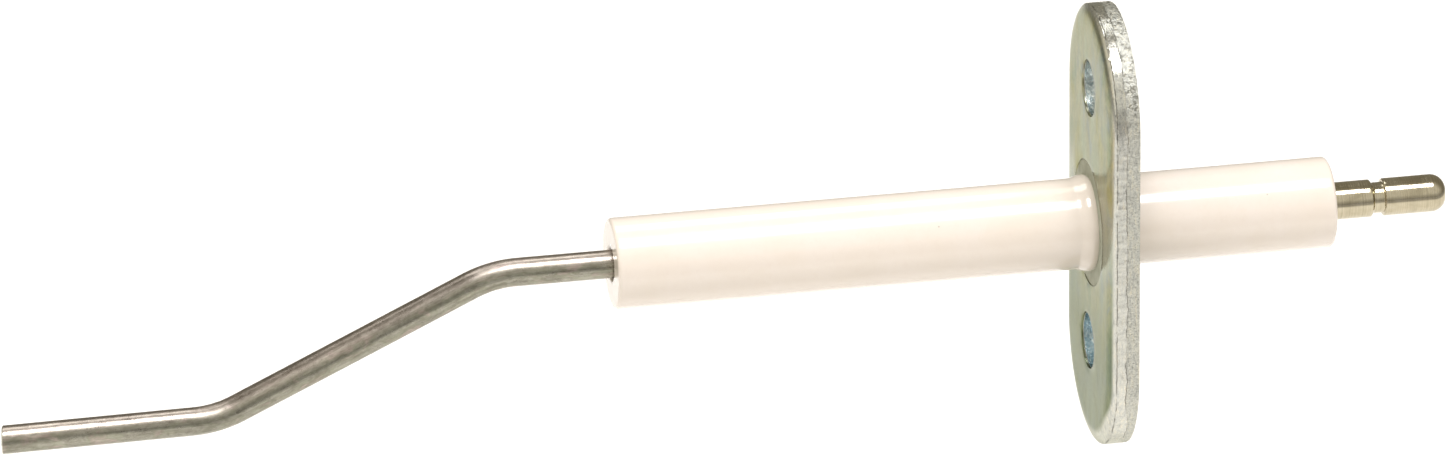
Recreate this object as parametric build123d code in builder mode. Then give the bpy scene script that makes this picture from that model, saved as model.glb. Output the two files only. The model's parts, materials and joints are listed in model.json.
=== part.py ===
"""Flame sensing electrode for a burner: a bent rod in a ceramic tube, carried by a screwed flange.

X runs along the insulator, from the rod's tip (-X) to the connector pin (+X), and Z runs along the
flange. The origin is midway between the two screw holes, on the flange's seating face.
"""

import os
from math import cos, radians, sin

from build123d import *

# Layout
axis_drop = 0.9  # the insulator's axis runs this far below the middle of the screw holes
probe_plane = Plane(origin=(0, 0, -axis_drop), x_dir=(1, 0, 0), z_dir=(0, -1, 0))
probe_axis = Axis((0, 0, -axis_drop), (1, 0, 0))

# Mounting flange
flange_length = 49.1
flange_width = 21.6
flange_thickness = 3.2
flange_drop = 1.2  # the outline's middle below the middle of the screw holes
flange_roll_width = 2.4  # the punch draws the front edge down
flange_roll_depth = 0.9
flange_burr_break = 0.12
screw_hole_diameter = 6.0
screw_hole_spacing = 29.0
screw_hole_break = 0.12
pocket_diameter = 13.5
pocket_depth = 0.9
flange_bore_diameter = 10.0

# Ceramic insulator
insulator_diameter = 9.7
insulator_front = -51.4
insulator_rear = 26.1
insulator_end_rounding = 0.45
shoulder_diameter = 10.34
shoulder_flare_start = -1.9
shoulder_crest = -0.45
shoulder_seat = 0.3  # the shoulder rounds off this far inside the flange's pocket
rod_bore_diameter = 3.6
rod_bore_mouth_break = 0.15
pin_bore_diameter = 5.6
pin_bore_depth = 13.8

# Sensing rod
rod_diameter = 3.0
rod_straight_out = 12.7  # insulator's mouth to the corner of the first bend
rod_slanted_run = 32.6
rod_tip_run = 22.95
rod_slant_angle = 25.1  # of the slanted run, below the insulator's axis
rod_tip_angle = 0.5  # of the tip run
rod_bend_radius = 12.0
rod_tip_break = 0.15

# Connector pin
pin_diameter = 4.0
pin_reach = 12.8  # nose beyond the insulator's rear face
pin_groove_start = 4.5  # beyond the insulator's rear face
pin_groove_length = 1.4
pin_groove_diameter = 3.28
pin_groove_lead = 0.3  # length of the groove's sloping side
pin_groove_edge = 0.12
pin_nose_rounding = 1.6
pin_socket_depth = 10.0
pin_socket_diameter = 3.06
rod_end_gap = 0.5  # rod's inner end to the socket's flat bottom
anchor_groove_depth = 0.3
anchor_groove_length = 1.2
anchor_groove_count = 3
anchor_groove_pitch = 3.2

# Cement
rod_seal_setback = 3.5  # behind the insulator's mouth
rod_seal_length = 12.0
bond_setback = 0.2  # inside the flange's rear face
pin_seal_setback = 0.3  # inside the insulator's rear face

# Radii and stations that follow from the sizes above
insulator_radius = insulator_diameter / 2
rod_radius = rod_diameter / 2
pin_radius = pin_diameter / 2
pin_inner_end = insulator_rear - pin_bore_depth
pin_groove_front = insulator_rear + pin_groove_start
pin_groove_back = pin_groove_front + pin_groove_length
pin_nose = insulator_rear + pin_reach
first_anchor = pin_inner_end + anchor_groove_pitch
anchor_stations = [first_anchor + n * anchor_groove_pitch for n in range(anchor_groove_count)]
groove_radius = pin_groove_diameter / 2


# Mounting flange: punched plate with full-round ends and a front edge that rolls off
flange_half_width = flange_width / 2
flange_end_reach = flange_length / 2 - flange_half_width  # outline's middle to the centre of an end


def half_section(height):
    """Half of the plate's cross-section at a height, from its middle to its rolled edge."""
    with BuildSketch(Plane.XY.offset(height)) as section:
        with BuildLine():
            roll_centre = (flange_roll_depth, flange_half_width - flange_roll_width)
            roll_end = (flange_roll_depth, flange_half_width)
            front = Line((0, 0), (0, flange_half_width - flange_roll_width))
            EllipticalCenterArc(
                roll_centre, flange_roll_depth, flange_roll_width, start_angle=90, arc_size=90
            )
            side = Line(roll_end, (flange_thickness - flange_burr_break, flange_half_width))
            burr = Line(side @ 1, (flange_thickness, flange_half_width - flange_burr_break))
            rear = Line(burr @ 1, (flange_thickness, 0))
            Line(rear @ 1, front @ 0)
        make_face()
    return section.sketch


with BuildPart() as mounting_flange:
    lower_end = -flange_drop - flange_end_reach
    upper_end = -flange_drop + flange_end_reach
    lower_section = half_section(lower_end)
    extrude(lower_section, amount=2 * flange_end_reach, dir=(0, 0, 1))
    extrude(lower_section.mirror(Plane.XZ), amount=2 * flange_end_reach, dir=(0, 0, 1))
    revolve(half_section(upper_end), Axis((0, 0, upper_end), (1, 0, 0)), revolution_arc=180)
    revolve(lower_section, Axis((0, 0, lower_end), (-1, 0, 0)), revolution_arc=180)
    with Locations(Plane(origin=(0, 0, -axis_drop), z_dir=(-1, 0, 0))):
        CounterBoreHole(flange_bore_diameter / 2, pocket_diameter / 2, pocket_depth)
    with Locations(Plane(origin=(0, 0, 0), x_dir=(0, 0, 1), z_dir=(-1, 0, 0))):
        with GridLocations(screw_hole_spacing, 0, 2, 1):
            Hole(screw_hole_diameter / 2)
    hole_rims = mounting_flange.edges().filter_by(
        lambda e: e.geom_type == GeomType.CIRCLE and abs(e.radius - screw_hole_diameter / 2) < 0.001
    )
    chamfer(hole_rims, screw_hole_break)
mounting_flange.part.label = "mounting_flange"


# Ceramic insulator: long front nose, flared shoulder that stops in the pocket, rear stub
with BuildPart() as insulator:
    with BuildSketch(probe_plane):
        with BuildLine():
            crest = (shoulder_crest, shoulder_diameter / 2)
            seat = (shoulder_seat, insulator_radius)
            front_face = Line((insulator_front, 0), (insulator_front, insulator_radius))
            front_side = Line(front_face @ 1, (shoulder_flare_start, insulator_radius))
            flare = Spline(front_side @ 1, crest, tangents=[(1, 0), (1, 0)])
            shoulder = TangentArc(flare @ 1, seat, tangent=(1, 0))
            rear_side = Line(shoulder @ 1, (insulator_rear, insulator_radius))
            rear_face = Line(rear_side @ 1, (insulator_rear, 0))
            Line(rear_face @ 1, front_face @ 0)
        make_face()
    revolve(axis=probe_axis)
    round_edges = insulator.edges().filter_by(GeomType.CIRCLE).sort_by(Axis.X)
    fillet([round_edges[0], round_edges[-1]], insulator_end_rounding)
    with Locations(Plane(origin=(insulator_front, 0, -axis_drop), z_dir=(-1, 0, 0))):
        Hole(rod_bore_diameter / 2)
    with Locations(Plane(origin=(insulator_rear, 0, -axis_drop), z_dir=(1, 0, 0))):
        Hole(pin_bore_diameter / 2, depth=pin_bore_depth)
    mouth_edge = insulator.edges().filter_by(GeomType.CIRCLE).group_by(Axis.X)[0]
    chamfer(mouth_edge.sort_by(SortBy.RADIUS)[0], rod_bore_mouth_break)
insulator.part.label = "insulator"


# Cement ring in the flange's pocket, with a thin sleeve through the flange's bore
with BuildPart() as flange_bond:
    with BuildSketch(probe_plane):
        with BuildLine():
            Polyline(
                (shoulder_seat, insulator_radius),
                (shoulder_seat, pocket_diameter / 2),
                (pocket_depth, pocket_diameter / 2),
                (pocket_depth, flange_bore_diameter / 2),
                (flange_thickness - bond_setback, flange_bore_diameter / 2),
                (flange_thickness - bond_setback, insulator_radius),
                close=True,
            )
        make_face()
    revolve(axis=probe_axis)
flange_bond.part.label = "flange_bond"


# Sensing rod: straight through the insulator, then bent down and back
def one_run_on(start, run_length, angle_down):
    """The point at the end of a straight run that heads away from the insulator."""
    slope = radians(angle_down)
    return (start[0] - run_length * cos(slope), start[1] - run_length * sin(slope))


rod_inner_end = (pin_inner_end + pin_socket_depth - rod_end_gap, 0)
first_corner = (insulator_front - rod_straight_out, 0)
second_corner = one_run_on(first_corner, rod_slanted_run, rod_slant_angle)
rod_tip = one_run_on(second_corner, rod_tip_run, rod_tip_angle)

with BuildPart() as sensing_rod:
    with BuildLine(probe_plane) as rod_route:
        FilletPolyline(rod_inner_end, first_corner, second_corner, rod_tip, radius=rod_bend_radius)
    with BuildSketch(Plane(rod_route.line @ 0, z_dir=rod_route.line % 0)):
        Circle(rod_radius)
    sweep(path=rod_route.line)
    tip_face = sensing_rod.faces().filter_by(GeomType.PLANE).sort_by(Axis.X)[0]
    chamfer(tip_face.edges(), rod_tip_break)
sensing_rod.part.label = "sensing_rod"


# Connector pin: anchored shank, blind socket for the rod, snap groove and round nose
with BuildPart() as connector_pin:
    with BuildSketch(probe_plane):
        with BuildLine():
            groove_slope_end = (pin_groove_front + pin_groove_lead, groove_radius)
            nose_start = (pin_nose - pin_nose_rounding, pin_radius)
            nose_end = (pin_nose, pin_radius - pin_nose_rounding)
            inner_face = Line((pin_inner_end, 0), (pin_inner_end, pin_radius))
            shank = Line(inner_face @ 1, (pin_groove_front, pin_radius))
            groove_slope = Line(shank @ 1, groove_slope_end)
            groove_floor = Line(groove_slope @ 1, (pin_groove_back, groove_radius))
            groove_wall = Line(groove_floor @ 1, (pin_groove_back, pin_radius - pin_groove_edge))
            groove_lip = Line(groove_wall @ 1, (pin_groove_back + pin_groove_edge, pin_radius))
            barrel = Line(groove_lip @ 1, nose_start)
            nose = TangentArc(nose_start, nose_end, tangent=(1, 0))
            nose_flat = Line(nose @ 1, (pin_nose, 0))
            Line(nose_flat @ 1, inner_face @ 0)
        make_face()
        with Locations([(station, pin_radius) for station in anchor_stations]):
            Rectangle(anchor_groove_length, 2 * anchor_groove_depth, mode=Mode.SUBTRACT)
    revolve(axis=probe_axis)
    with Locations(Plane(origin=(pin_inner_end, 0, -axis_drop), z_dir=(-1, 0, 0))):
        Hole(pin_socket_diameter / 2, depth=pin_socket_depth)
connector_pin.part.label = "connector_pin"


# Cement sleeve around the pin's shank, keyed into its anchor grooves
pin_seal_length = pin_bore_depth - pin_seal_setback
with BuildPart() as pin_seal:
    with BuildSketch(probe_plane):
        with Locations((pin_inner_end, pin_radius)):
            Rectangle(
                pin_seal_length,
                pin_bore_diameter / 2 - pin_radius,
                align=(Align.MIN, Align.MIN),
            )
        with Locations([(station, pin_radius) for station in anchor_stations]):
            Rectangle(
                anchor_groove_length,
                anchor_groove_depth,
                align=(Align.CENTER, Align.MAX),
            )
    revolve(axis=probe_axis)
pin_seal.part.label = "pin_seal"


# Cement plug around the rod, set back from the insulator's mouth
with BuildPart() as rod_seal:
    with BuildSketch(probe_plane):
        with Locations((insulator_front + rod_seal_setback, rod_radius)):
            Rectangle(
                rod_seal_length,
                rod_bore_diameter / 2 - rod_radius,
                align=(Align.MIN, Align.MIN),
            )
    revolve(axis=probe_axis)
rod_seal.part.label = "rod_seal"


os.makedirs("parts", exist_ok=True)
for piece in (
    sensing_rod,
    insulator,
    mounting_flange,
    flange_bond,
    connector_pin,
    rod_seal,
    pin_seal,
):
    export_step(piece.part, f"parts/{piece.part.label}.step")
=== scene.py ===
"""Looks of the flame sensor probe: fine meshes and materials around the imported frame.

Lengths in this file are millimetres unless a name says otherwise, and MM turns them into the
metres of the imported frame. X runs along the insulator from the rod's tip to the connector pin, and Z
runs along the flange.
"""

import json
import math

import bmesh
import bpy
from mathutils import Matrix, Vector, noise
from mathutils.geometry import delaunay_2d_cdt


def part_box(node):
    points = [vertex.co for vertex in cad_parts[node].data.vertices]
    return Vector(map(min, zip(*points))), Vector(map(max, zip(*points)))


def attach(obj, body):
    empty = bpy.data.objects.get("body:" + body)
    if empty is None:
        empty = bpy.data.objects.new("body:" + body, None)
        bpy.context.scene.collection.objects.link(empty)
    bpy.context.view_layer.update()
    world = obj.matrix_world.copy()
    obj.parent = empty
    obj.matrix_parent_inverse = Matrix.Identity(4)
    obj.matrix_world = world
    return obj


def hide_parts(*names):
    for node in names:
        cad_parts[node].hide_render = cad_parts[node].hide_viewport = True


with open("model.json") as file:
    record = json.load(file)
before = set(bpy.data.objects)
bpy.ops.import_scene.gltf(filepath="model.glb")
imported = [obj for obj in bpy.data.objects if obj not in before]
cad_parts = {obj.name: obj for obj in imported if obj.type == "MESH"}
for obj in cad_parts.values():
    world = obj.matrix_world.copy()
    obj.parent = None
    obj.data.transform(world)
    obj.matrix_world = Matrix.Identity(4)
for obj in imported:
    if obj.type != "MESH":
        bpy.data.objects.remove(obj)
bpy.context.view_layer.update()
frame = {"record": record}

MM = 0.001


# ------------------------------------------------------------
# Places and sizes. What the frame shows is read from it, and the rest is as in the CAD part.

def box_mm(node):
    low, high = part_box(node)
    return low / MM, high / MM


mounts = {mount["name"]: mount for mount in frame["record"]["mounts"]}
insulator_low, insulator_high = box_mm("insulator")
flange_low, flange_high = box_mm("mounting_flange")
bond_low, bond_high = box_mm("flange_bond")
pin_low, pin_high = box_mm("connector_pin")
pin_seal_low, pin_seal_high = box_mm("pin_seal")
rod_seal_low, rod_seal_high = box_mm("rod_seal")
axis_height = (pin_low.z + pin_high.z) / 2
screw_hole_radius = mounts["flange_screws"]["dims"]["hole_r_mm"]
screw_hole_reach = mounts["flange_screws"]["dims"]["spacing_y_mm"] / 2
pin_radius = mounts["connector_pin"]["dims"]["r_mm"]

insulator_radius = 4.85
insulator_end_rounding = 0.45
shoulder_radius = 5.17
shoulder_flare_start = -1.9
shoulder_crest = -0.45
shoulder_seat = 0.3
rod_bore_radius = 1.8
rod_bore_mouth_break = 0.15
pin_bore_radius = 2.8

rod_radius = 1.5
rod_straight_out = 12.7
rod_slanted_run = 32.6
rod_tip_run = 22.95
rod_slant_angle = 25.1
rod_tip_angle = 0.5
rod_bend_radius = 12.0
rod_end_gap = 0.5
rod_cut_angle = 11.0

flange_half_width = (flange_high.y - flange_low.y) / 2
flange_thickness = flange_high.x
flange_roll_width = 2.4
flange_roll_depth = 0.9
flange_burr_break = 0.12
pocket_radius = 6.75
pocket_depth = 0.9
flange_bore_radius = 5.0

pin_groove_start = 4.5
pin_groove_length = 1.4
pin_groove_radius = 1.64
pin_groove_lead = 0.3
pin_nose_rounding = 1.6
pin_socket_radius = 1.53
pin_socket_depth = 10.0
anchor_groove_depth = 0.3
anchor_groove_length = 1.2
anchor_groove_count = 3
anchor_groove_pitch = 3.2
anchor_stations = [pin_low.x + anchor_groove_pitch * (n + 1) for n in range(anchor_groove_count)]


# ------------------------------------------------------------
# Mesh building

def grain(place, frequency, octaves=3):
    """Fractal noise at a place, about -1 to 1. The frequency is in waves per millimetre."""
    return noise.fractal(Vector(place) * frequency, 0.9, 2.1, octaves)


def smooth_step(value, low, high):
    share = min(1.0, max(0.0, (value - low) / (high - low)))
    return share * share * (3 - 2 * share)


def steps(start, end, step):
    """Numbers from start to end, both kept, about a step apart."""
    count = max(1, round(abs(end - start) / step))
    return [start + (end - start) * n / count for n in range(count + 1)]


def arc(centre, radius, start_degrees, end_degrees, count):
    """Points on an arc in the (station, radius) plane, both ends kept."""
    sweep = end_degrees - start_degrees
    angles = [math.radians(start_degrees + sweep * n / count) for n in range(count + 1)]
    return [(centre[0] + radius * math.cos(a), centre[1] + radius * math.sin(a)) for a in angles]


class Shell:
    """A closed surface under construction: points in millimetres, faces, a zone per point, and the
    points that lie on a dark seam. The rod also keeps each point's place as if it were straight."""

    def __init__(self):
        self.points = []
        self.faces = []
        self.zones = []
        self.seams = {}
        self.straightened = []

    def ring(self, points, zone=0.0):
        first = len(self.points)
        self.points.extend(Vector(point) for point in points)
        count = len(self.points) - first
        self.zones.extend(zone if isinstance(zone, list) else [zone] * count)
        return list(range(first, len(self.points)))

    def band(self, ring, next_ring):
        for n, corner in enumerate(ring):
            after = (n + 1) % len(ring)
            self.faces.append((corner, ring[after], next_ring[after], next_ring[n]))

    def bands(self, rings, closed=False):
        for ring, next_ring in zip(rings, rings[1:]):
            self.band(ring, next_ring)
        if closed:
            self.band(rings[-1], rings[0])

    def fan(self, ring, zone=0.0):
        centre = sum((self.points[n] for n in ring), Vector()) / len(ring)
        middle = self.ring([centre], zone)[0]
        for n, corner in enumerate(ring):
            self.faces.append((corner, ring[(n + 1) % len(ring)], middle))

    def plate(self, outline, holes, spacing, height_at, keep):
        """Fill the flat stretch between an outline and the holes in it with triangles."""
        flat = [self.points[n].yz for ring in [outline, *holes] for n in ring]
        numbers = [n for ring in [outline, *holes] for n in ring]
        edges = []
        first = 0
        for ring in [outline, *holes]:
            count = len(ring)
            edges.extend((first + n, first + (n + 1) % count) for n in range(count))
            first += count
        low = Vector((min(p.x for p in flat), min(p.y for p in flat)))
        high = Vector((max(p.x for p in flat), max(p.y for p in flat)))
        for row, z in enumerate(steps(low.y, high.y, spacing * 0.87)):
            for y in steps(low.x + (row % 2) * spacing / 2, high.x, spacing):
                if keep(y, z, spacing * 0.55):
                    flat.append(Vector((y, z)))
                    numbers.extend(self.ring([(height_at(y, z), y, z)]))
        corners, _, triangles, sources, _, _ = delaunay_2d_cdt(flat, edges, [], 0, 1e-6, True)
        for triangle in triangles:
            middle = sum((corners[n] for n in triangle), Vector((0, 0))) / 3
            if keep(middle.x, middle.y, -1e-4):
                self.faces.append(tuple(numbers[sources[n][0]] for n in triangle))

    def mesh(self, name):
        mesh = bpy.data.meshes.new(name)
        mesh.from_pydata([point * MM for point in self.points], [], self.faces)
        bm = bmesh.new()
        bm.from_mesh(mesh)
        bmesh.ops.recalc_face_normals(bm, faces=bm.faces)
        bm.to_mesh(mesh)
        bm.free()
        zone = mesh.attributes.new("zone", "FLOAT", "POINT")
        zone.data.foreach_set("value", self.zones)
        seam = mesh.attributes.new("seam", "FLOAT", "POINT")
        for number, depth in self.seams.items():
            seam.data[number].value = depth
        if self.straightened:
            straight = mesh.attributes.new("straight", "FLOAT_VECTOR", "POINT")
            straight.data.foreach_set("vector", [number for place in self.straightened for number in place])
        return mesh


def show(name, mesh, material, replaces, sharp_degrees=40):
    """Shade the mesh, give it its material and let it stand for its CAD node."""
    mesh.polygons.foreach_set("use_smooth", [True] * len(mesh.polygons))
    mesh.set_sharp_from_angle(angle=math.radians(sharp_degrees))
    mesh.materials.append(material)
    piece = bpy.data.objects.new(name, mesh)
    bpy.context.scene.collection.objects.link(piece)
    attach(piece, "root")
    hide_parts(replaces)


def turned(profile, segments, shift=None, closed=True, zone=None):
    """Turn a profile of (station, radius) points around the insulator's axis."""
    shell = Shell()
    rings = []
    for station, radius in profile:
        points = []
        for n in range(segments):
            angle = 2 * math.pi * n / segments
            along, out = shift(station, radius, angle) if shift else (0, 0)
            y = (radius + out) * math.cos(angle)
            z = (radius + out) * math.sin(angle)
            points.append((station + along, y, axis_height + z))
        rings.append(shell.ring(points, zone(station, radius) if zone else 0.0))
    shell.bands(rings, closed)
    if not closed:
        shell.fan(rings[0])
        shell.fan(rings[-1])
    return shell


# ------------------------------------------------------------
# Sensing rod. Its zone rises from ROD_SIDE to 1 in the middle of a bend.

ROD_SIDE, ROD_CUT = 0.0, 2.0


class Route:
    """Straight runs joined by bends, in the plane of symmetry. Each leg is (length, start, heading,
    turn), and turn is the angle of a bend, positive when it turns towards the rod's upper side."""

    def __init__(self, corners, bend_radius):
        self.bend_radius = bend_radius
        self.legs = []
        start = corners[0]
        for before, corner, after in zip(corners, corners[1:], corners[2:]):
            heading = (corner - before).normalized()
            next_heading = (after - corner).normalized()
            turn = math.asin(self.upper_side(heading).dot(next_heading))
            reach = bend_radius * math.tan(abs(turn) / 2)
            bend_start = corner - heading * reach
            self.legs.append(((bend_start - start).length, start, heading, 0))
            self.legs.append((bend_radius * abs(turn), bend_start, heading, turn))
            start = corner + next_heading * reach
        self.legs.append(((corners[-1] - start).length, start, next_heading, 0))
        self.length = sum(leg[0] for leg in self.legs)

    @staticmethod
    def upper_side(heading):
        return Vector((heading.y, -heading.x))

    def at(self, distance):
        """The centre and heading at a distance, and how far into a bend it is: 0 on a straight run
        to 1 in the middle of a bend, negative when the bend turns down."""
        for leg in self.legs:
            length, start, heading, turn = leg
            if distance <= length or leg is self.legs[-1]:
                break
            distance -= length
        if not turn:
            return start + heading * distance, heading, 0.0
        side = self.upper_side(heading) * math.copysign(1, turn)
        angle = distance / self.bend_radius
        centre = start + self.bend_radius * (math.sin(angle) * heading + (1 - math.cos(angle)) * side)
        depth = math.sin(math.pi * distance / length)
        return centre, math.cos(angle) * heading + math.sin(angle) * side, math.copysign(depth, turn)


def rod_corner(start, run_length, angle_down):
    slope = math.radians(angle_down)
    return start - run_length * Vector((math.cos(slope), math.sin(slope)))


def rod_surface(distance, angle, bend):
    """Radius of the rod: nearly round, drawn a little oval and marked by the tool in its bends."""
    straight = Vector((distance * 0.08, math.cos(angle) * 1.2, math.sin(angle) * 1.2))
    waver = 0.006 * noise.noise(straight)
    oval = -0.018 * abs(bend) * math.cos(2 * angle - math.pi)
    inside = max(0.0, math.sin(angle) * math.copysign(1, bend)) ** 3 * abs(bend)
    crease = noise.noise(Vector((distance * 2.2, math.cos(angle) * 3, math.sin(angle) * 3)))
    return rod_radius + waver + oval - inside * (0.02 + 0.03 * crease)


def build_rod(material):
    inner_end = Vector((pin_low.x + pin_socket_depth - rod_end_gap, axis_height))
    first_corner = Vector((insulator_low.x - rod_straight_out, axis_height))
    second_corner = rod_corner(first_corner, rod_slanted_run, rod_slant_angle)
    tip = rod_corner(second_corner, rod_tip_run, rod_tip_angle)
    route = Route([inner_end, first_corner, second_corner, tip], rod_bend_radius)
    segments = 112
    tip_rounding = 0.16
    cut_slope = math.tan(math.radians(rod_cut_angle))
    cut_pivot = 1.0
    depth_in_view = 6
    seen_from = inner_end.x - insulator_low.x - depth_in_view
    shell = Shell()

    def ring_at(distance, share=1.0, zone=None):
        """One ring of the rod's side, or of its cut end when the share is below 1. The cut was sheared
        a little askew, so the camera's side of it reaches further out."""
        centre, heading, bend = route.at(distance)
        up = route.upper_side(heading)
        askew = cut_slope * smooth_step(distance, route.length - 1.5, route.length - 0.2)
        points = []
        marks = []
        for n in range(segments):
            angle = 2 * math.pi * n / segments
            radius = rod_surface(distance, angle, bend) * share
            across = radius * math.cos(angle)
            out = radius * math.sin(angle)
            roughness = 0.02 * grain((0, across, out), 1.6) if share < 0.97 else 0
            middle = centre + heading * (roughness - askew * (across + cut_pivot))
            points.append((middle.x + up.x * out, across, middle.y + up.y * out))
            marks.append((distance, across, out))
        shell.straightened.extend(marks)
        return shell.ring(points, abs(bend) if zone is None else zone)

    coarse_step, fine_step = 6, 0.3
    distances = steps(0, seen_from, coarse_step)[:-1]
    distances += steps(seen_from, route.length - tip_rounding, fine_step)
    rings = [ring_at(distance) for distance in distances]
    for turn in (25, 50, 75, 90):
        angle = math.radians(turn)
        ahead = tip_rounding * math.sin(angle)
        inset = tip_rounding * (1 - math.cos(angle)) / rod_radius
        rings.append(ring_at(route.length - tip_rounding + ahead, 1 - inset, ROD_CUT))
    for share in (0.84, 0.78, 0.7, 0.6, 0.5, 0.4, 0.3, 0.2, 0.1):
        rings.append(ring_at(route.length, share, ROD_CUT))
    shell.bands(rings)
    for ring, distance, zone in ((rings[0], 0, ROD_SIDE), (rings[-1], route.length, ROD_CUT)):
        shell.fan(ring, zone)
        shell.straightened.append((distance, 0, 0))
    show("rod_drawn", shell.mesh("rod_drawn"), material, "sensing_rod")


# ------------------------------------------------------------
# Ceramic insulator

def insulator_profile():
    """Once around the tube's section: front face, outside, shoulder, rear face, bores."""
    front, rear = insulator_low.x, insulator_high.x
    rounding = insulator_end_rounding
    pin_bore_bottom = pin_low.x
    mouth_radius = rod_bore_radius + rod_bore_mouth_break
    profile = [(front, r) for r in steps(mouth_radius, insulator_radius - rounding, 0.4)]
    profile += arc((front + rounding, insulator_radius - rounding), rounding, 180, 90, 10)[1:]
    profile += [(x, insulator_radius) for x in steps(front + rounding, shoulder_flare_start, 0.8)[1:]]
    rise = shoulder_radius - insulator_radius
    for n in range(1, 13):
        share = n / 12
        station = shoulder_flare_start + share * (shoulder_crest - shoulder_flare_start)
        profile.append((station, insulator_radius + rise * smooth_step(share, 0, 1)))
    run = shoulder_seat - shoulder_crest
    round_radius = (run * run + rise * rise) / (2 * rise)
    seat_angle = math.degrees(math.acos(run / round_radius))
    centre = (shoulder_crest, shoulder_radius - round_radius)
    profile += arc(centre, round_radius, 90, seat_angle, 8)[1:]
    profile += [(x, insulator_radius) for x in steps(shoulder_seat, rear - rounding, 0.8)[1:]]
    profile += arc((rear - rounding, insulator_radius - rounding), rounding, 90, 0, 10)[1:]
    profile += [(rear, r) for r in steps(insulator_radius - rounding, pin_bore_radius + 0.12, 0.4)[1:]]
    profile += [(x, pin_bore_radius) for x in steps(rear - 0.12, pin_bore_bottom, 2)]
    profile += [(x, rod_bore_radius) for x in steps(pin_bore_bottom, front + 3, 4)]
    profile += [(x, rod_bore_radius) for x in steps(front + 3, front + rod_bore_mouth_break, 0.5)[1:]]
    return profile


def glaze_waver(station, radius, angle):
    """The glaze lies a little unevenly, as its long highlights show."""
    if radius < insulator_radius - 0.01:
        return (0, 0)
    around = Vector((station * 0.07, math.cos(angle) * 0.8, math.sin(angle) * 0.8))
    ripple = Vector((station * 0.5 + 7, math.cos(angle) * 2.2, math.sin(angle) * 2.2))
    return (0, 0.012 * noise.noise(around) + 0.0025 * noise.noise(ripple))


def build_insulator(material):
    shell = turned(insulator_profile(), 160, glaze_waver)
    mesh = shell.mesh("insulator_glazed")
    show("insulator_glazed", mesh, material, "insulator", sharp_degrees=50)


# ------------------------------------------------------------
# Mounting flange. BURNISHED is where the punch rubbed the edge, and TORN is where the metal broke.

FACE, BURNISHED, TORN, HOLE_WALL, POCKET = 0.0, 1.0, 2.0, 3.0, 4.0
screw_hole_roll_width = 0.12
screw_hole_roll_depth = 0.2
screw_hole_rear_break = 0.16
pocket_mouth_break = 0.08
bore_rear_break = 0.12
burr_inset = flange_burr_break + 0.04


class SlotOutline:
    """Stations around the plate's outline, each a point with its outward direction."""

    def __init__(self, step):
        self.middle = (flange_low.z + flange_high.z) / 2
        self.end_reach = (flange_high.z - flange_low.z) / 2 - flange_half_width
        self.stations = []
        half_turn = math.pi * flange_half_width
        for side in (1, -1):
            centre = Vector((0, self.middle + side * self.end_reach))
            for along in steps(0, 2 * self.end_reach, step)[:-1]:
                height = self.middle - side * self.end_reach + side * along
                self.stations.append((Vector((side * flange_half_width, height)), Vector((side, 0))))
            for along in steps(0, half_turn, step)[:-1]:
                angle = along / flange_half_width + (0 if side > 0 else math.pi)
                out = Vector((math.cos(angle), math.sin(angle)))
                self.stations.append((centre + flange_half_width * out, out))

    def inset_of(self, y, z):
        """How far inside the outline a place is."""
        beyond = max(0.0, abs(z - self.middle) - self.end_reach)
        return flange_half_width - math.hypot(y, beyond)


def face_waver(y, z):
    """The plate is nearly flat, with the faint long waves of rolled strip."""
    long_wave = noise.noise(Vector((y * 0.16, z * 0.07, 3)))
    short_wave = noise.noise(Vector((y * 0.7, z * 0.1, 9)))
    return 0.01 * long_wave + 0.004 * short_wave


def torn(x, y, z):
    """Depth of the torn metal below the punched outline, with ridges that run through the plate."""
    ridges = abs(grain((x * 0.45, y, z), 1.7, 4))
    crumbs = grain((x + 5, y, z), 4.2, 2)
    return 0.03 + 0.085 * ridges + 0.02 * crumbs


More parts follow.
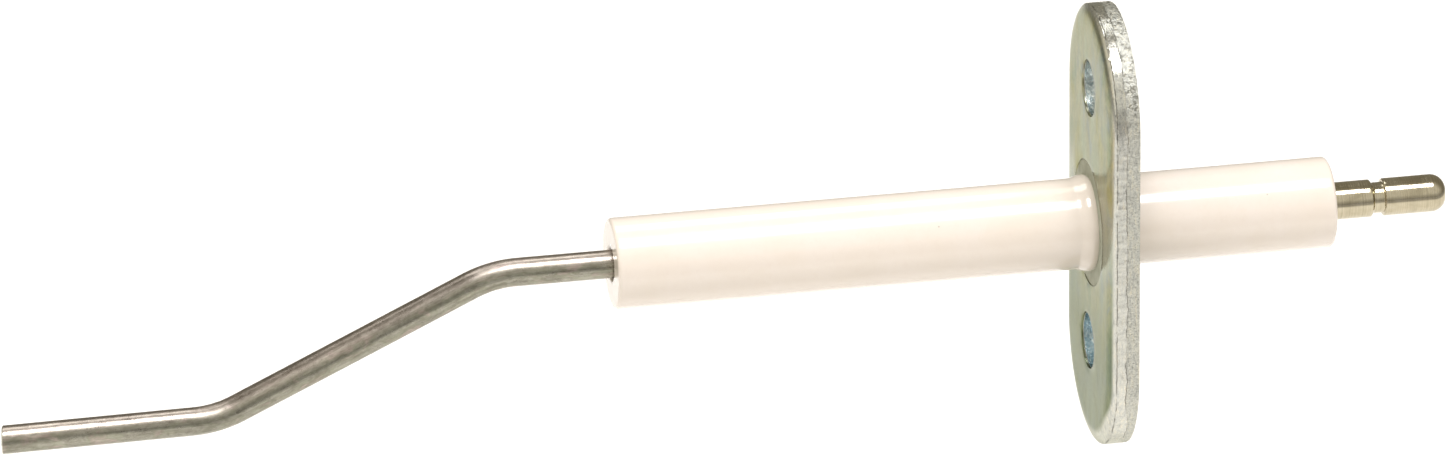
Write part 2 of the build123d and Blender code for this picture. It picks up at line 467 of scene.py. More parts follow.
def flange_rim_rings(shell, outline):
    """Rings from the front face's flat, over the roll and the sheared edge, to the rear face."""
    rear = flange_thickness
    roll_end = 0.74
    torn_end = rear - flange_burr_break
    rings = []

    def ring(depth_at, inset_at, zone):
        points = []
        zones = []
        for place, out in outline.stations:
            depth = depth_at(place)
            spot = place - out * inset_at(place, depth)
            points.append((depth, spot.x, spot.y))
            zones.append(zone(place) if callable(zone) else zone)
        rings.append(shell.ring(points, zones))

    def jag(place, seed, frequency, size):
        return size * grain((seed, place.x, place.y), frequency, 3)

    def foot_waver(place):
        return jag(place, 2, 0.9, 0.06)

    def low_end(place):
        """1 around the lower end, where the punch drew more of the edge down, and 0 elsewhere."""
        return smooth_step(-place.y, 16.5, 22)

    def land_end(place):
        return 1.72 + 0.5 * low_end(place) + jag(place, 8, 0.35, 0.16) + jag(place, 9, 1.7, 0.1)

    def land_depth(place, share):
        """Depth of a ring on the burnished land, which starts wavy and ends along the torn band."""
        straight = roll_end + share * (land_end(place) - roll_end)
        return straight + (1 - share) * foot_waver(place)

    def mark_seam(strength, frequency):
        """Darken the last ring here and there, where metal folded over or tore."""
        for number, (place, _) in zip(rings[-1], outline.stations):
            shell.seams[number] = strength * smooth_step(jag(place, 12, frequency, 1), -0.4, 0.15)

    for turn in (0, 8, 16, 24, 32, 40, 48, 55, 61, 66, 70):
        angle = math.radians(turn)
        depth = flange_roll_depth * (1 - math.cos(angle))
        inset = flange_roll_width * (1 - math.sin(angle))
        ring(
            lambda place: depth + face_waver(place.x, place.y) * math.cos(angle),
            lambda place, at: inset,
            lambda place: smooth_step(turn + 30 * low_end(place), 38, 68),
        )
    ring(
        lambda place: roll_end - 0.08 + foot_waver(place),
        lambda place, at: 0.1 + jag(place, 4, 2, 0.02),
        BURNISHED,
    )
    ring(
        lambda place: roll_end + foot_waver(place),
        lambda place, at: 0.08 + jag(place, 5, 2.6, 0.03),
        BURNISHED,
    )
    mark_seam(1.0, 0.6)
    for share in (0.06, 0.14, 0.28, 0.42, 0.56, 0.7, 0.84, 0.94, 1.0):
        ring(
            lambda place: land_depth(place, share),
            lambda place, at: 0.012 * grain((at * 0.3, place.x, place.y), 1.6, 3) + 0.012,
            BURNISHED,
        )
    first_share = 0.03
    for share in (first_share, 0.1, 0.18, 0.26, 0.34, 0.42, 0.5, 0.58, 0.66, 0.74, 0.82, 0.9, 0.97):
        ring(
            lambda place: land_end(place) + share * (torn_end - land_end(place)),
            lambda place, at: torn(at, place.x, place.y),
            TORN,
        )
        if share == first_share:
            mark_seam(0.9, 0.45)
    ring(lambda place: rear - 0.03, lambda place, at: 0.07 + jag(place, 6, 2.2, 0.03), TORN)
    ring(lambda place: rear, lambda place, at: burr_inset, FACE)
    return rings


def screw_hole_rings(shell, middle_z):
    """Rings from the front face to the rear face along the wall of a punched hole."""
    rear = flange_thickness
    segments = 120
    rows = []
    for turn in (0, 30, 60, 90):
        angle = math.radians(turn)
        depth = screw_hole_roll_depth * (1 - math.cos(angle))
        rows.append((depth, screw_hole_roll_width * (1 - math.sin(angle)), 0.0, FACE))
    rows += [(x, 0.0, 0.0, HOLE_WALL) for x in (0.3, 0.6, 0.9, 1.2)]
    rows += [(x, 0.02, 1.0, HOLE_WALL) for x in steps(1.45, rear - 0.2, 0.13)]
    rows.append((rear - 0.06, screw_hole_rear_break / 2, 0.5, HOLE_WALL))
    rows.append((rear, screw_hole_rear_break, 0.0, FACE))
    rings = []
    for depth, wider, tear, zone in rows:
        points = []
        for n in range(segments):
            angle = 2 * math.pi * n / segments
            out = Vector((math.cos(angle), math.sin(angle)))
            rough = tear * 0.8 * torn(depth, out.x * 3 + 20, out.y * 3 + middle_z)
            dent = 0.012 * grain((depth, out.x * 3, out.y * 3 + middle_z), 0.9, 3)
            on_face = depth in (0, rear)
            radius = screw_hole_radius + wider + (0 if on_face else rough + dent)
            lift = face_waver(out.x * radius, middle_z + out.y * radius) if depth == 0 else 0
            points.append((depth + lift, out.x * radius, middle_z + out.y * radius))
        rings.append(shell.ring(points, zone))
    return rings


def pocket_rings(shell):
    """Rings from the front face into the pocket and through the bore to the rear face."""
    rear = flange_thickness
    segments = 144
    corner = 0.05
    rows = [(0.0, pocket_radius + pocket_mouth_break, FACE), (0.02, pocket_radius + 0.03, POCKET)]
    rows += [(x, pocket_radius, POCKET) for x in (pocket_mouth_break, 0.3, pocket_depth - corner)]
    rows += [(pocket_depth, r, POCKET) for r in (pocket_radius - corner, flange_bore_radius + corner)]
    bore_stations = steps(pocket_depth + corner, rear - bore_rear_break, 0.4)
    rows += [(x, flange_bore_radius, POCKET) for x in bore_stations]
    rows.append((rear - corner, flange_bore_radius + 0.04, POCKET))
    rows.append((rear, flange_bore_radius + bore_rear_break, FACE))
    rings = []
    for depth, radius, zone in rows:
        points = []
        for n in range(segments):
            angle = 2 * math.pi * n / segments
            out = Vector((math.cos(angle), math.sin(angle)))
            if zone != FACE:
                radius_here = radius + 0.008 * grain((depth, out.x * 6, out.y * 6), 0.6, 3)
            else:
                radius_here = radius
            spot = (out.x * radius_here, axis_height + out.y * radius_here)
            lift = face_waver(*spot) if depth == 0 else 0
            points.append((depth + lift, *spot))
        rings.append(shell.ring(points, zone))
    return rings


def build_flange(material):
    shell = Shell()
    outline = SlotOutline(0.12)
    rim = flange_rim_rings(shell, outline)
    holes = [screw_hole_rings(shell, side * screw_hole_reach) for side in (1, -1)]
    pocket = pocket_rings(shell)
    for rings in (rim, *holes, pocket):
        shell.bands(rings)

    def keeper(edge_inset, hole_radius, middle_radius):
        def keep(y, z, clear):
            if outline.inset_of(y, z) < edge_inset + clear:
                return False
            if math.hypot(y, z - axis_height) < middle_radius + clear:
                return False
            return all(math.hypot(y, z - s * screw_hole_reach) > hole_radius + clear for s in (1, -1))
        return keep

    spacing = 0.8
    front = keeper(
        flange_roll_width,
        screw_hole_radius + screw_hole_roll_width,
        pocket_radius + pocket_mouth_break,
    )
    rear = keeper(
        burr_inset,
        screw_hole_radius + screw_hole_rear_break,
        flange_bore_radius + bore_rear_break,
    )
    shell.plate(rim[0], [holes[0][0], holes[1][0], pocket[0]], spacing, face_waver, front)
    shell.plate(
        rim[-1],
        [holes[0][-1], holes[1][-1], pocket[-1]],
        spacing,
        lambda y, z: flange_thickness - abs(face_waver(y + 50, z)),
        rear,
    )
    mesh = shell.mesh("flange_punched")
    show("flange_punched", mesh, material, "mounting_flange", sharp_degrees=35)


# ------------------------------------------------------------
# Connector pin and cement

def pin_profile():
    """From the bottom of the socket, along the shank and its grooves, to the nose."""
    rear_face = insulator_high.x
    inner, nose = pin_low.x, pin_high.x
    groove = rear_face + pin_groove_start
    groove_end = groove + pin_groove_length
    soft = 0.05
    profile = [(inner + pin_socket_depth, r) for r in (0.3, 0.9, pin_socket_radius)]
    profile += [(x, pin_socket_radius) for x in steps(inner + pin_socket_depth - 0.1, inner + 0.1, 2)]
    profile += [(inner, pin_socket_radius + 0.08), (inner, pin_radius - 0.08), (inner + 0.08, pin_radius)]
    for middle in anchor_stations:
        for side in (-1, 1):
            wall = middle + side * anchor_groove_length / 2
            rim = (wall + side * soft, pin_radius)
            floor = (wall - side * soft, pin_radius - anchor_groove_depth)
            profile += [rim, floor] if side < 0 else [floor, rim]
    profile += [(x, pin_radius) for x in steps(rear_face - 0.9, groove - 0.06, 0.25)]
    profile += [(groove + 0.02, pin_radius - 0.015), (groove + 0.06, pin_radius - 0.045)]
    slope_end = groove + pin_groove_lead
    profile += [(slope_end - soft, pin_groove_radius + 0.045), (slope_end + 0.03, pin_groove_radius)]
    profile += [(x, pin_groove_radius) for x in steps(slope_end + 0.15, groove_end - 0.15, 0.15)]
    profile += [(groove_end - 0.04, pin_groove_radius + 0.01), (groove_end, pin_groove_radius + soft)]
    profile += [(groove_end, pin_radius - 0.14), (groove_end + 0.03, pin_radius - 0.08)]
    profile += [(groove_end + 0.12, pin_radius - 0.01), (groove_end + 0.2, pin_radius)]
    nose_start = nose - pin_nose_rounding
    nose_flat = pin_radius - pin_nose_rounding
    profile += [(x, pin_radius) for x in steps(groove_end + 0.4, nose_start, 0.25)]
    profile += arc((nose_start, nose_flat), pin_nose_rounding, 90, 0, 26)[1:]
    profile += [(nose, nose_flat * 0.6), (nose, nose_flat * 0.25)]
    return profile


def turned_waver(station, radius, angle):
    """Faint tool rings along the pin, and a plating that is never quite round."""
    rings = 0.0012 * noise.noise(Vector((station * 4.5, radius * 3, 0)))
    plating = 0.003 * noise.noise(Vector((station * 0.35, math.cos(angle), math.sin(angle))))
    return (0, (rings + plating) * min(1.0, radius))


def build_pin(material):
    shell = turned(pin_profile(), 144, turned_waver, closed=False)
    mesh = shell.mesh("pin_plated")
    show("pin_plated", mesh, material, "connector_pin", sharp_degrees=30)


def cement_waver(lively):
    """Uneven cement, where lively gives how uneven each station and radius is."""
    def shift(station, radius, angle):
        place = (station, radius * math.cos(angle), radius * math.sin(angle))
        size = lively(station, radius)
        return (size * (0.03 * grain(place, 0.5, 3) + 0.03 * grain(place, 2.4, 3)), 0)
    return shift


def climb(share, steepness, height):
    """How far cement rises where it meets a wall, which is at share 0."""
    return max(0.0, 1 - share * steepness) ** 2 * height


def build_flange_bond(material):
    """Cement ring in the pocket, with a hollow face that climbs at both sides."""
    front, rear = bond_low.x, bond_high.x
    inner, outer = insulator_radius, pocket_radius
    profile = []
    for radius in steps(inner + 0.02, outer - 0.02, 0.08):
        share = (radius - inner) / (outer - inner)
        rise = climb(share, 5, 0.22) + climb(1 - share, 6, 0.14)
        profile.append((front - 0.17 - rise * 0.4, radius))
    profile += [(front - 0.1, outer), (pocket_depth - 0.02, outer), (pocket_depth, outer - 0.02)]
    profile += [(pocket_depth, flange_bore_radius)]
    profile += [(x, flange_bore_radius - 0.005) for x in steps(pocket_depth + 0.3, rear - 0.02, 0.5)]
    profile += [(rear, flange_bore_radius - 0.05), (rear, inner + 0.03)]
    profile += [(x, inner + 0.005) for x in steps(rear - 0.02, front + 0.05, 0.5)]
    waver = cement_waver(lambda x, r: 1.0 if x < front - 0.05 or x > rear - 0.01 else 0.0)
    mesh = turned(profile, 144, waver).mesh("bond_cement")
    show("bond_cement", mesh, material, "flange_bond", sharp_degrees=60)


def build_pin_seal(material):
    """Cement sleeve around the pin's shank, in view at the insulator's rear face."""
    front, rear = pin_seal_low.x, pin_seal_high.x
    outer = pin_bore_radius - 0.005
    profile = [(x, outer) for x in steps(front, rear - 0.1, 2)]
    for radius in steps(outer, pin_radius + 0.02, 0.07):
        share = (outer - radius) / (outer - pin_radius)
        rise = climb(share, 4, 0.12) + climb(1 - share, 3, 0.2)
        profile.append((rear - 0.05 + rise, radius))
    neck = pin_radius + 0.005
    profile.append((rear - 0.1, neck))
    for middle in reversed(anchor_stations):
        half = anchor_groove_length / 2 - 0.08
        keyed = pin_radius - anchor_groove_depth + 0.01
        profile += [(middle + half, neck), (middle + half - 0.02, keyed)]
        profile += [(middle - half + 0.02, keyed), (middle - half, neck)]
    profile.append((front, neck))
    waver = cement_waver(lambda x, r: 1.0 if x > rear - 0.09 else 0.0)
    mesh = turned(profile, 112, waver).mesh("pin_cement")
    show("pin_cement", mesh, material, "pin_seal", sharp_degrees=60)


def build_rod_seal(material):
    """Cement plug around the rod, deep in the bore."""
    front, rear = rod_seal_low.x, rod_seal_high.x
    outer, inner = rod_bore_radius - 0.004, rod_radius + 0.012
    profile = [(front + 0.03, r) for r in steps(inner, outer, 0.07)]
    profile += [(x, outer) for x in steps(front + 0.3, rear - 0.1, 2)]
    profile += [(rear, r) for r in steps(outer, inner, 0.1)]
    profile += [(x, inner) for x in steps(rear - 0.1, front + 0.3, 2)]
    waver = cement_waver(lambda x, r: 0.8 if x < front + 0.1 else 0.0)
    mesh = turned(profile, 96, waver).mesh("rod_cement")
    show("rod_cement", mesh, material, "rod_seal", sharp_degrees=60)


# ------------------------------------------------------------
# Materials

def shade(code):
    """A linear colour from its usual six-digit code."""
    values = [int(code[n : n + 2], 16) / 255 for n in (1, 3, 5)]
    linear = [v / 12.92 if v <= 0.04045 else ((v + 0.055) / 1.055) ** 2.4 for v in values]
    return (*linear, 1.0)


class Nodes:
    """A tree of nodes. An input is given a number, a colour, a colour's six-digit code or another
    node's output."""

    def __init__(self, tree):
        self.tree = tree

    def put(self, node, inputs):
        for name, value in inputs.items():
            socket = node.inputs[name]
            if isinstance(value, bpy.types.NodeSocket):
                self.tree.links.new(value, socket)
            else:
                socket.default_value = shade(value) if isinstance(value, str) else value
        return node

    def node(self, kind, inputs=None, **settings):
        node = self.tree.nodes.new("ShaderNode" + kind)
        for name, value in settings.items():
            setattr(node, name, value)
        return self.put(node, inputs or {})

    def place(self):
        """The place on the object in millimetres."""
        coordinates = self.node("TexCoord").outputs["Object"]
        scaled = self.node("VectorMath", {0: coordinates, "Scale": 1 / MM}, operation="SCALE")
        return scaled.outputs["Vector"]

    def attribute(self, name, output):
        return self.node("Attribute", attribute_name=name).outputs[output]

    def stretched(self, place, factors):
        return self.node("VectorMath", {0: place, 1: factors}, operation="MULTIPLY").outputs["Vector"]

    def noise(self, place, scale, detail=3.0, roughness=0.55, distortion=0.0):
        inputs = {
            "Vector": place,
            "Scale": scale,
            "Detail": detail,
            "Roughness": roughness,
            "Distortion": distortion,
        }
        return self.node("TexNoise", inputs).outputs["Fac"]

    def specks(self, place, scale, size, share):
        """Round specks in a share of the cells of a pattern, 1 inside a speck and 0 elsewhere."""
        cells = self.node("TexVoronoi", {"Vector": place, "Scale": scale, "Randomness": 1.0})
        luck = self.node("SeparateColor", {"Color": cells.outputs["Color"]}).outputs["Red"]
        chosen = self.calc("GREATER_THAN", luck, 1 - share)
        reach = self.times(luck, size)
        inside = self.span(cells.outputs["Distance"], 1.0, 0.0, 0.0, reach)
        return self.times(inside, chosen)

    def cracks(self, place, scale, width):
        """Thin lines between the cells of a pattern, 1 on a line and 0 elsewhere."""
        inputs = {"Vector": place, "Scale": scale, "Randomness": 1.0}
        cells = self.node("TexVoronoi", inputs, feature="DISTANCE_TO_EDGE")
        return self.span(cells.outputs["Distance"], 1.0, 0.0, 0.0, width)

    def calc(self, operation, first, second=0.0):
        inputs = {0: first, 1: second}
        return self.node("Math", inputs, operation=operation).outputs[0]

    def times(self, first, second):
        return self.calc("MULTIPLY", first, second)

    def plus(self, first, second):
        return self.calc("ADD", first, second)

    def span(self, value, to_low, to_high, low=0.0, high=1.0, smooth=False):
        """Map the stretch from low to high of a value onto to_low to to_high."""
        inputs = {"Value": value, "From Min": low, "From Max": high, "To Min": to_low, "To Max": to_high}
        kind = "SMOOTHSTEP" if smooth else "LINEAR"
        return self.node("MapRange", inputs, interpolation_type=kind).outputs["Result"]

    def mix(self, share, first, second, blend="MIX"):
        node = self.node("Mix", data_type="RGBA", blend_type=blend)
        node.inputs[0].default_value = 1.0
        for number, value in ((0, share), (6, first), (7, second)):
            self.put(node, {number: value})
        return node.outputs[2]

    def tinted(self, colour, tone):
        return self.mix(1.0, colour, tone, "MULTIPLY")

    def ramp(self, value, stops):
        node = self.node("ValToRGB", {"Fac": value})
        elements = node.color_ramp.elements
        while len(elements) < len(stops):
            elements.new(0.5)
        for element, (position, colour) in zip(elements, stops):
            element.position = position
            element.color = shade(colour) if isinstance(colour, str) else colour
        return node.outputs["Color"]

    def bump(self, height, depth_mm, normal=None):
        inputs = {"Height": height, "Distance": depth_mm * MM, "Strength": 1.0}
        if normal is not None:
            inputs["Normal"] = normal
        return self.node("Bump", inputs).outputs["Normal"]


class Recipe(Nodes):
    """A material's nodes, around its principled shader."""

    def __init__(self, name):
        self.material = bpy.data.materials.new(name)
        self.material.use_nodes = True
        super().__init__(self.material.node_tree)

    def finish(self, **inputs):
        names = {name.replace("_", " "): value for name, value in inputs.items()}
        self.put(self.tree.nodes["Principled BSDF"], names)
        return self.material


def drawn_steel():
    """Heat-resisting rod as drawn: streaks, mottling, grey-green and brown tints, small pits, a painted
    pinkish sheen on top.
    """
    r = Recipe("drawn_steel")
    place = r.attribute("straight", "Vector")
    zone = r.attribute("zone", "Fac")
    cut = r.span(zone, 0, 1, 1.2, 1.8)
    streaks = r.noise(r.stretched(place, (0.06, 1.5, 1.5)), 1.0, 4)
    hairs = r.noise(r.stretched(place, (0.16, 7, 7)), 1.0, 3, 0.6)
    clouds = r.noise(r.stretched(place, (0.35, 0.8, 0.8)), 1.0, 5, 0.65, 0.8)
    mottle = r.noise(r.stretched(place, (0.6, 1.3, 1.3)), 1.3, 5, 0.72, 0.6)
    frost = r.noise(place, 5.0, 4, 0.7)
    pits = r.specks(r.stretched(place, (0.6, 1, 1)), 2.6, 0.16, 0.35)
    tint = r.ramp(clouds, [(0.3, "#88887a"), (0.43, "#a3a196"), (0.54, "#999a8a"), (0.7, "#b7aaa3")])
    # Painted sheen: the rod's upper side is tinted pinkish, as the light falls on it
    upper = r.span(r.node("SeparateXYZ", {"Vector": place}).outputs["Z"], 0, 0.6, 0.3, 1.3, True)
    tint = r.mix(upper, tint, "#aea19c")
    tone = r.ramp(streaks, [(0.3, (0.76, 0.76, 0.75, 1)), (0.7, (1.12, 1.11, 1.1, 1))])
    colour = r.tinted(tint, tone)
    patchy = r.ramp(mottle, [(0.37, (0.76, 0.74, 0.72, 1)), (0.6, (1.1, 1.1, 1.09, 1))])
    colour = r.tinted(colour, patchy)
    colour = r.mix(r.span(hairs, 0, 0.5, 0.45, 0.72), colour, "#777168")
    colour = r.mix(r.times(pits, 0.75), colour, "#4b463b")
    colour = r.mix(cut, colour, "#d6d2c6")
    rough = r.span(clouds, 0.24, 0.33, 0.3, 0.7)
    rough = r.plus(rough, r.span(frost, 0.0, 0.08, 0.4, 0.8))
    rough = r.plus(rough, r.span(zone, 0.0, 0.12, 0.2, 1.0))
    normal = r.bump(hairs, 0.004)
    normal = r.bump(frost, 0.003, normal)
    normal = r.bump(r.times(pits, -1.0), 0.01, normal)
    return r.finish(Base_Color=colour, Metallic=1.0, Roughness=rough, Normal=normal)


def glaze():
    """Glossy white glaze, faintly clouded, with a few dark specks."""
    r = Recipe("white_glaze")
    place = r.place()
    clouds = r.noise(place, 0.16, 4, 0.55, 0.4)
    fine = r.noise(place, 1.3, 4, 0.6)
    peel = r.noise(place, 0.9, 2, 0.5)
    specks = r.specks(place, 0.42, 0.06, 0.2)
    dust = r.specks(place, 1.1, 0.05, 0.12)
    colour = r.mix(r.span(clouds, 0, 1, 0.3, 0.7), "#e5dacd", "#e8ded4")
    colour = r.mix(r.span(fine, 0, 0.35, 0.5, 0.8), colour, "#e1d4c7")
    colour = r.mix(r.times(specks, 0.8), colour, "#6e5d4b")
    colour = r.mix(r.times(dust, 0.35), colour, "#a3907a")
    rough = r.span(fine, 0.16, 0.26, 0.35, 0.75)
    normal = r.bump(peel, 0.004)
    return r.finish(
        Base_Color=colour,
        Roughness=rough,
        Normal=normal,
        Coat_Weight=0.7,
        Coat_Roughness=0.05,
        IOR=1.52,
    )


def zinc():
    """Zinc plate with a yellow-green passivation, by zone: face, burnished, torn, hole, pocket."""
    r = Recipe("zinc_passivated")
    place = r.place()
    zone = r.attribute("zone", "Fac")
    seam = r.attribute("seam", "Fac")
    # Where the sheared edge, its torn band and the holes' walls are
    edge = r.times(r.span(zone, 0, 1, 0.1, 0.9), r.span(zone, 1, 0, 2.2, 2.8))
    torn_zone = r.times(r.span(zone, 0, 1, 1.2, 1.8), r.span(zone, 1, 0, 2.2, 2.8))
    hole = r.times(r.span(zone, 0, 1, 2.2, 2.9), r.span(zone, 1, 0, 3.2, 3.8))
    # Patterns, most of them stretched along the strip
    rolled = r.stretched(place, (1, 1, 0.14))
    clouds = r.noise(r.stretched(place, (1, 1, 0.55)), 0.17, 5, 0.6, 1.1)
    tints = r.noise(r.stretched(place, (1, 1, 0.5)), 0.3, 4, 0.6, 0.6)
    streaks = r.noise(rolled, 1.1, 4, 0.6)
    hairs = r.noise(rolled, 5.0, 3, 0.6)
    crystals = r.noise(place, 3.2, 5, 0.75)
    spangle = r.noise(r.stretched(place, (1, 1, 0.7)), 1.2, 5, 0.75, 0.8)
    grit = r.noise(r.stretched(place, (0.7, 1, 1)), 7.0, 4, 0.75)
    scuffs = r.noise(r.stretched(place, (1.4, 1, 0.3)), 2.4, 4, 0.7)
    smudges = r.span(r.noise(place, 0.34, 3, 0.5, 1.6), 0, 1, 0.56, 0.72, True)
    # Where the plate is darker or cracked: darker towards its bottom, painted shade on the downward-facing
    # edge at its lowest end, cracks along its edge
    depth, across, height = r.node("SeparateXYZ", {"Vector": place}).outputs
    low_end = r.span(r.plus(height, r.span(clouds, -6, 6)), 1, 0, -14, -3, True)
    painted_underside_shade = r.span(r.plus(height, r.span(scuffs, -1.2, 1.2)), 1, 0, -25.2, -23.2, True)
    crackle = r.span(r.noise(place, 1.9, 3, 0.6, 0.6), 0.7, 0, 0.4, 0.5, True)
    crackle = r.times(crackle, r.span(height, 0, 1, 11, 17, True))
    bent = r.plus(r.times(r.noise(place, 1.2, 3), 0.12), 1.0)
    warped = r.node("VectorMath", {0: place, "Scale": bent}, operation="SCALE").outputs[0]
    cracks = r.cracks(r.stretched(warped, (1, 1, 0.5)), 0.8, 0.05)
    cracks = r.times(cracks, r.span(r.noise(place, 0.4, 2), 0, 1, 0.54, 0.7, True))
    # The face
    face = r.ramp(clouds, [(0.3, "#84907d"), (0.43, "#969e88"), (0.54, "#a09e84"), (0.7, "#8b9682")])
    face = r.mix(r.span(tints, 0, 0.8, 0.5, 0.68, True), face, "#98945f")
    face = r.mix(r.span(tints, 0.8, 0, 0.32, 0.47, True), face, "#879197")
    face = r.mix(r.times(low_end, 0.75), face, "#626e55")
    tone = r.ramp(streaks, [(0.3, (0.87, 0.87, 0.86, 1)), (0.7, (1.09, 1.09, 1.08, 1))])
    face = r.tinted(face, tone)
    grainy = r.ramp(spangle, [(0.36, (0.8, 0.82, 0.8, 1)), (0.64, (1.12, 1.11, 1.08, 1))])
    face = r.tinted(face, grainy)
    face = r.mix(r.times(smudges, 0.45), face, "#6f7a7d")
    # A faint pale area on the front face, to each side of the pocket: a painted reflection of the insulator
    # in the zinc.
    painted_reflection = r.span(r.calc("ABSOLUTE", across), 0, 1, 5.4, 6.8, True)
    level = r.calc("ABSOLUTE", r.calc("SUBTRACT", height, axis_height + 1.8))
    level = r.plus(level, r.span(spangle, -2.2, 2.2))
    painted_reflection = r.times(painted_reflection, r.span(level, 1, 0, 1.6, 6.2, True))
    painted_reflection = r.times(painted_reflection, r.span(depth, 1, 0, 0.4, 1.2))
    face = r.mix(r.times(painted_reflection, 0.42), face, "#c9cac4")
    # The sheared edge
    sheared = r.ramp(scuffs, [(0.3, "#a5a6a0"), (0.43, "#c5c6c0"), (0.56, "#d0d0c7"), (0.72, "#ddd7c5")])
    flecks = r.ramp(
        grit,
        [
            (0.33, (0.5, 0.5, 0.48, 1)),
            (0.48, (0.95, 0.95, 0.94, 1)),
            (0.7, (1.18, 1.18, 1.16, 1)),
        ],
    )
    sheared = r.mix(r.span(torn_zone, 0.4, 1.0), sheared, r.tinted(sheared, flecks))
    sheared = r.mix(r.times(cracks, 0.5), sheared, "#6f6d63")
    sheared = r.mix(r.times(crackle, torn_zone), sheared, "#6d6c63")
    # Painted shade on the downward-facing edge at the plate's lowest end
    sheared = r.mix(r.times(painted_underside_shade, 0.8), sheared, "#83846c")
    # The screw holes' walls, paler in the upper hole and bluer in the lower one
    pale = r.ramp(crystals, [(0.3, "#8b9ca1"), (0.46, "#b3c1c3"), (0.58, "#f2f6f3")])
    blue = r.ramp(crystals, [(0.3, "#809cab"), (0.48, "#a5bfc9"), (0.62, "#eef5f3")])
    plated = r.mix(r.span(height, 1, 0, -1, 1), pale, blue)
    colour = r.mix(edge, face, sheared)
    colour = r.mix(hole, colour, plated)
    colour = r.mix(seam, colour, "#5c584f")
    rough = r.span(clouds, 0.15, 0.24, 0.3, 0.7)
    rough = r.plus(rough, r.span(crystals, 0.0, 0.06, 0.4, 0.7))
    worn = r.times(edge, r.calc("SUBTRACT", r.span(scuffs, 0.14, 0.3, 0.35, 0.7), rough))
    rough = r.plus(rough, worn)
    rough = r.plus(rough, r.times(torn_zone, 0.2))
    normal = r.bump(hairs, 0.003)
    normal = r.bump(crystals, 0.004, normal)
    normal = r.bump(r.times(scuffs, edge), 0.02, normal)
    torn_height = r.times(grit, r.plus(torn_zone, r.times(hole, 0.4)))
    normal = r.bump(torn_height, 0.08, normal)
    return r.finish(
        Base_Color=colour,
        Metallic=0.95,
        Roughness=rough,
        Normal=normal,
        Specular_Tint=(0.78, 0.79, 0.73, 1),
    )


def nickel():
    """Bright nickel over a turned pin: fine rings around it and a few handling marks."""
    r = Recipe("bright_nickel")
    place = r.place()
    rings = r.noise(r.stretched(place, (7, 0.05, 0.05)), 1.0, 4, 0.7)
    clouds = r.noise(r.stretched(place, (0.4, 0.5, 0.5)), 1.0, 4, 0.6, 0.7)
    scratches = r.noise(r.stretched(place, (0.5, 5, 5)), 1.0, 3, 0.7)
    pits = r.specks(place, 2.2, 0.1, 0.25)
    colour = r.ramp(clouds, [(0.3, "#b3aa92"), (0.5, "#c1b8a0"), (0.7, "#cbc3ae")])
    ringed = r.ramp(rings, [(0.34, (0.8, 0.8, 0.79, 1)), (0.6, (1.06, 1.06, 1.05, 1))])
    colour = r.tinted(colour, ringed)
    colour = r.mix(r.times(pits, 0.5), colour, "#7d745c")
    rough = r.span(clouds, 0.09, 0.14, 0.3, 0.7)
    rough = r.plus(rough, r.span(rings, 0.0, 0.06, 0.4, 0.8))
    normal = r.bump(rings, 0.0014)
    normal = r.bump(r.span(scratches, 0, 1, 0.62, 0.7), 0.001, normal)
    return r.finish(Base_Color=colour, Metallic=1.0, Roughness=rough, Normal=normal)


def cement():
    """Matt grey-brown refractory cement with sandy grains."""
    r = Recipe("refractory_cement")
    place = r.place()
    clouds = r.noise(place, 0.6, 4, 0.6)
    grains = r.noise(place, 6.0, 4, 0.75)
    sand = r.specks(place, 3.0, 0.3, 0.5)
    colour = r.ramp(clouds, [(0.3, "#989a87"), (0.5, "#a8ab99"), (0.7, "#b4b6a6")])
    colour = r.mix(r.span(grains, 0, 0.4, 0.5, 0.75), colour, "#77735c")
    colour = r.mix(r.times(sand, 0.4), colour, "#c7c2ac")
    normal = r.bump(grains, 0.03)
    normal = r.bump(sand, 0.02, normal)
    return r.finish(Base_Color=colour, Roughness=0.85, Normal=normal)


def paper():
    """The floor: pale and matt, with a painted pool of light around the object that greys far from it."""
    r = Recipe("pale_floor")
    place = r.place()
    pool = r.node("VectorMath", {0: place, 1: (0, -120, 0)}, operation="ADD").outputs["Vector"]
    far = r.node("VectorMath", {0: r.stretched(pool, (1, 1, 0))}, operation="LENGTH").outputs["Value"]
    fibres = r.noise(place, 0.05, 3)
    colour = r.mix(fibres, "#f6f5f3", "#f8f7f5")
    # Painted pool of light: greyer with distance from a spot just behind the object
    colour = r.mix(r.span(far, 0, 1, 290, 430, True), colour, "#9c9b99")
    return r.finish(Base_Color=colour, Roughness=0.8)


# ------------------------------------------------------------
# Camera, floor and light

def add_camera():
    """A long lens from the rod's side of the flange, a little above the insulator."""
    azimuth, elevation, roll = -10.919, 23.2, -0.592
    distance = 1241.9
    aim = Vector((-39.4, 0, 2.21))
    turn = (
        Matrix.Rotation(math.radians(azimuth), 4, "Z")
        @ Matrix.Rotation(math.radians(90 - elevation), 4, "X")
        @ Matrix.Rotation(math.radians(roll), 4, "Z")
    )
    lens = bpy.data.cameras.new("camera")
    lens.lens = 294.17
    lens.sensor_width = 36
    lens.clip_end = 30
    camera = bpy.data.objects.new("camera", lens)
    place = aim + turn.to_3x3() @ Vector((0, 0, distance))
    camera.matrix_world = Matrix.Translation(place * MM) @ turn
    bpy.context.scene.collection.objects.link(camera)
    bpy.context.scene.camera = camera


def add_floor(material):
    drop = 60.0
    half = 6000
    height = flange_low.z - drop
    mesh = bpy.data.meshes.new("floor")
    corners = [(-half, -half), (half, -half), (half, half), (-half, half)]
    mesh.from_pydata([Vector((x, y, height)) * MM for x, y in corners], [], [(0, 1, 2, 3)])
    mesh.materials.append(material)
    floor = bpy.data.objects.new("floor", mesh)
    bpy.context.scene.collection.objects.link(floor)


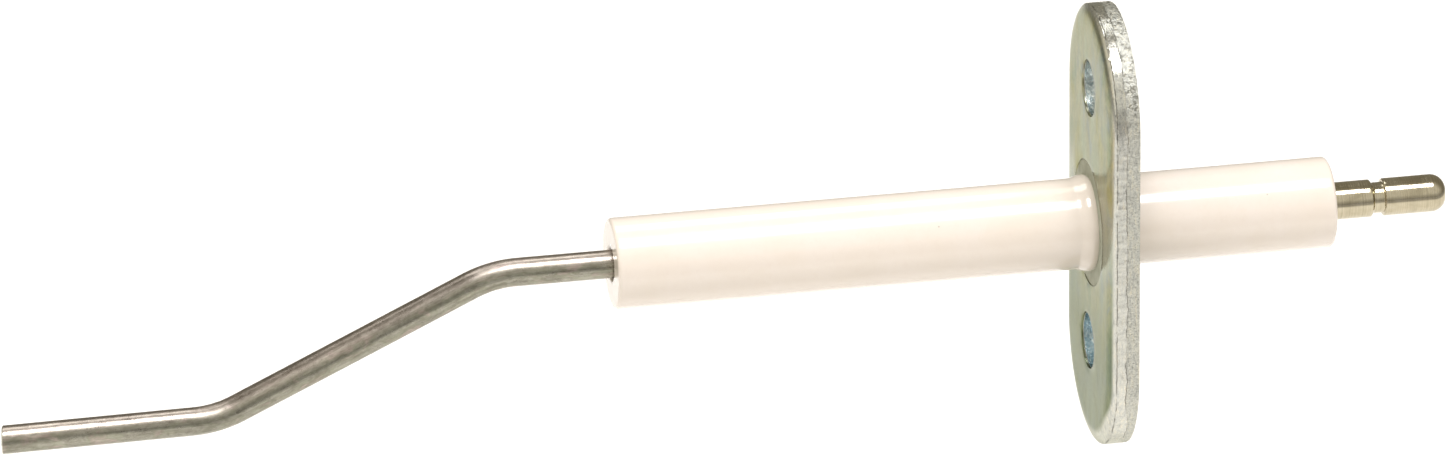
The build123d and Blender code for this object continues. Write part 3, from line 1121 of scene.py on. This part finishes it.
def add_softbox(name, side, rise, distance_m, width_m, height_m, power, colour=(1, 1, 1)):
    """A rectangular light that looks at the insulator. Rise is its angle above the horizon on the
    camera's side, past 90 behind the object, and side is how far it stands towards +X."""
    light = bpy.data.lights.new(name, "AREA")
    light.shape = "RECTANGLE"
    light.size = width_m
    light.size_y = height_m
    light.energy = power
    light.color = colour
    lamp = bpy.data.objects.new(name, light)
    angle = math.radians(rise)
    outwards = Vector((side, -math.cos(angle), math.sin(angle))).normalized()
    across = Vector((1, 0, 0))
    across = (across - across.dot(outwards) * outwards).normalized()
    up = outwards.cross(across)
    facing = Matrix((across, up, outwards)).transposed().to_4x4()
    lamp.matrix_world = Matrix.Translation(outwards * distance_m) @ facing
    bpy.context.scene.collection.objects.link(lamp)


def add_world():
    """A soft sky, brighter high on the camera's side and towards the rod's tip, dim elsewhere."""
    world = bpy.data.worlds.new("studio")
    bpy.context.scene.world = world
    world.use_nodes = True
    r = Nodes(world.node_tree)
    direction = r.node("SeparateXYZ", {"Vector": r.node("TexCoord").outputs["Generated"]})
    side, back, rise = direction.outputs
    front = r.span(back, 1.0, 0.0, -0.6, 0.2, True)
    high = r.span(rise, 0.0, 1.0, 0.05, 0.4, True)
    left = r.span(side, 1.0, 0.0, -0.9, -0.5, True)
    glow = r.times(front, r.span(high, 0.2, 0.55))
    glow = r.plus(glow, r.times(left, 0.6))
    background = world.node_tree.nodes["Background"]
    tint = r.mix(front, (1.0, 0.92, 0.74, 1), (1.0, 0.96, 0.87, 1))
    r.put(background, {"Color": tint, "Strength": r.plus(glow, 0.3)})


build_rod(drawn_steel())
build_insulator(glaze())
build_flange(zinc())
build_pin(nickel())
cement_material = cement()
build_flange_bond(cement_material)
build_pin_seal(cement_material)
build_rod_seal(cement_material)

add_camera()
add_floor(paper())
add_world()
cool_white = (0.97, 0.96, 1.0)
add_softbox(
    "key", side=0.02, rise=72, distance_m=1.8, width_m=0.94, height_m=0.62, power=29.6, colour=cool_white
)
add_softbox("back_strip", side=-0.15, rise=118, distance_m=0.6, width_m=0.42, height_m=0.2, power=0.93)
bpy.context.scene.view_settings.view_transform = "Standard"
